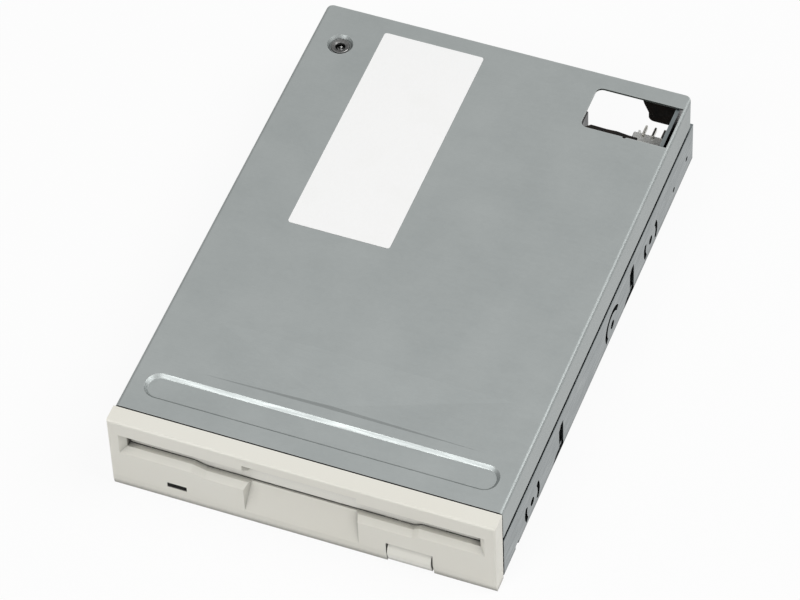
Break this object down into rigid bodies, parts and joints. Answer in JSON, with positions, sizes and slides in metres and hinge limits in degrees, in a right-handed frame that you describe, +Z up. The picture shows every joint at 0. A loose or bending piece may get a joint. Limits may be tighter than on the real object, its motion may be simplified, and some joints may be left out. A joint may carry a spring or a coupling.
{
  "type": "internal floppy disk drive",
  "caption": "Slim internal 3.5 inch floppy disk drive with slot bezel, dust door, eject button, pressed cover and working loading, spindle and head mechanisms.",
  "frame": {"origin": "middle of the footprint, at the height of the rails underside", "axes": "+X to the right seen from the front, +Y to the rear with the bezel facing -Y, +Z up"},
  "size_m": [0.1016, 0.1512, 0.0254],
  "materials": {
    "chassis_steel": "zinc plated sheet",
    "cover_steel": "zinc plated sheet, matt",
    "bezel_plastic": "moulded, fine grain",
    "door_plastic": "moulded",
    "button_plastic": "moulded",
    "light_lens": "smooth",
    "slide_steel": "zinc plated sheet",
    "carrier_steel": "zinc plated sheet",
    "spring_steel": "drawn wire and strip",
    "pin_steel": "turned",
    "screw_steel": "plated",
    "lever_plastic": "moulded acetal",
    "switch_plastic": "moulded",
    "plunger_plastic": "moulded acetal",
    "motor_board_mask": "solder mask",
    "main_board_mask": "solder mask on paper board",
    "bearing_brass": "turned",
    "core_steel": "coated laminations",
    "coil_copper": "enamelled wire",
    "magnet_ferrite": "sintered",
    "rotor_steel": "drawn and plated",
    "chuck_plastic": "moulded",
    "carriage_plastic": "glass filled, moulded",
    "head_ceramic": "lapped",
    "connector_white": "moulded",
    "connector_black": "moulded",
    "contact_tin": "tinned",
    "chip_epoxy": "moulded epoxy",
    "can_aluminium": "drawn"
  },
  "bodies": {
    "root": {"chassis_frame": "chassis_steel", "top_cover": "cover_steel", "front_bezel": "bezel_plastic", "light_guide": "light_lens", "door_spring": "spring_steel", "motor_board": "motor_board_mask", "spindle_bearing": "bearing_brass", "stator_core": "core_steel", "stator_coils": "coil_copper", "write_protect_switch": "switch_plastic", "density_switch": "switch_plastic", "disk_switch": "switch_plastic", "guide_rod": "pin_steel", "rod_clamps": "switch_plastic", "stepper_bracket": "chassis_steel", "stepper_can": "rotor_steel", "main_board": "main_board_mask", "data_connector": "connector_black", "data_pins": "contact_tin", "power_connector": "connector_white", "power_pins": "contact_tin", "controller_chip": "chip_epoxy", "motor_driver_chip": "chip_epoxy", "index_sensor": "switch_plastic", "track_zero_sensor": "switch_plastic", "capacitor": "can_aluminium", "crystal": "can_aluminium", "cover_screw": "screw_steel", "board_screws": "screw_steel", "motor_board_screws": "screw_steel", "bracket_screws": "screw_steel"},
    "slide": {"slide_plate": "slide_steel", "slide_springs": "spring_steel", "eject_button": "button_plastic"},
    "carrier": {"disk_carrier": "carrier_steel", "carrier_pins": "pin_steel", "disk_leaf_springs": "spring_steel", "lever_pivot": "pin_steel"},
    "lever": {"shutter_lever": "lever_plastic"},
    "door": {"dust_door": "door_plastic"},
    "spindle": {"spindle_shaft": "pin_steel", "rotor_cup": "rotor_steel", "rotor_magnet": "magnet_ferrite", "chuck_table": "chuck_plastic", "chuck_magnet": "magnet_ferrite", "drive_pin_spring": "spring_steel", "drive_pin": "pin_steel"},
    "carriage": {"head_carriage": "carriage_plastic", "lower_head": "head_ceramic", "screw_follower": "pin_steel"},
    "arm": {"upper_arm": "carriage_plastic", "upper_head": "head_ceramic", "arm_spring": "spring_steel"},
    "screw_shaft": {"lead_screw": "pin_steel", "stepper_rotor": "magnet_ferrite"},
    "write_protect_key": {"write_protect_plunger": "plunger_plastic"},
    "density_key": {"density_plunger": "plunger_plastic"},
    "disk_key": {"disk_plunger": "plunger_plastic"}
  },
  "joints": [
    {"name": "slide_travel", "type": "slide", "parent": "root", "child": "slide", "axis": [0, -1, 0], "range_m": [0, 0.0055], "deforming": ["slide_springs"]},
    {"name": "carrier_drop", "type": "slide", "parent": "root", "child": "carrier", "axis": [0, 0, -1], "range_m": [0, 0.0023]},
    {"name": "lever_turn", "type": "hinge", "parent": "carrier", "child": "lever", "pos_m": [0.038, 0.0256, 0.0204], "axis": [0, 0, -1], "range_deg": [0, 51], "stiffness_Nm_per_rad": 0.002, "springref_deg": -14.32},
    {"name": "door_swing", "type": "hinge", "parent": "root", "child": "door", "pos_m": [0, -0.0709, 0.0209], "axis": [1, 0, 0], "range_deg": [0, 75], "stiffness_Nm_per_rad": 0.0006, "springref_deg": -22.92},
    {"name": "spindle_turn", "type": "hinge", "parent": "root", "child": "spindle", "pos_m": [0, -0.0274, 0.012], "axis": [0, 0, 1], "continuous": true},
    {"name": "head_travel", "type": "slide", "parent": "root", "child": "carriage", "axis": [0, -1, 0], "range_m": [0, 0.015]},
    {"name": "lead_screw_turn", "type": "hinge", "parent": "root", "child": "screw_shaft", "pos_m": [0.014, 0.0356, 0.0116], "axis": [0, 1, 0], "range_deg": [0, 1440]},
    {"name": "arm_lower", "type": "hinge", "parent": "carriage", "child": "arm", "pos_m": [0, 0.0416, 0.0165], "axis": [1, 0, 0], "range_deg": [0, 8]},
    {"name": "write_protect_press", "type": "slide", "parent": "root", "child": "write_protect_key", "axis": [0, 0, -1], "range_m": [0, 0.0012], "stiffness_N_per_m": 60, "springref_m": -0.0004},
    {"name": "density_press", "type": "slide", "parent": "root", "child": "density_key", "axis": [0, 0, -1], "range_m": [0, 0.0012], "stiffness_N_per_m": 60, "springref_m": -0.0004},
    {"name": "disk_press", "type": "slide", "parent": "root", "child": "disk_key", "axis": [0, 0, -1], "range_m": [0, 0.0012], "stiffness_N_per_m": 60, "springref_m": -0.0004}
  ],
  "couplings": [
    {"joint": "carrier_drop", "follows": "slide_travel", "ratio": 0.418},
    {"joint": "arm_lower", "follows": "slide_travel", "rad_per_m": 25.38},
    {"joint": "lead_screw_turn", "follows": "head_travel", "rad_per_m": 1675}
  ]
}
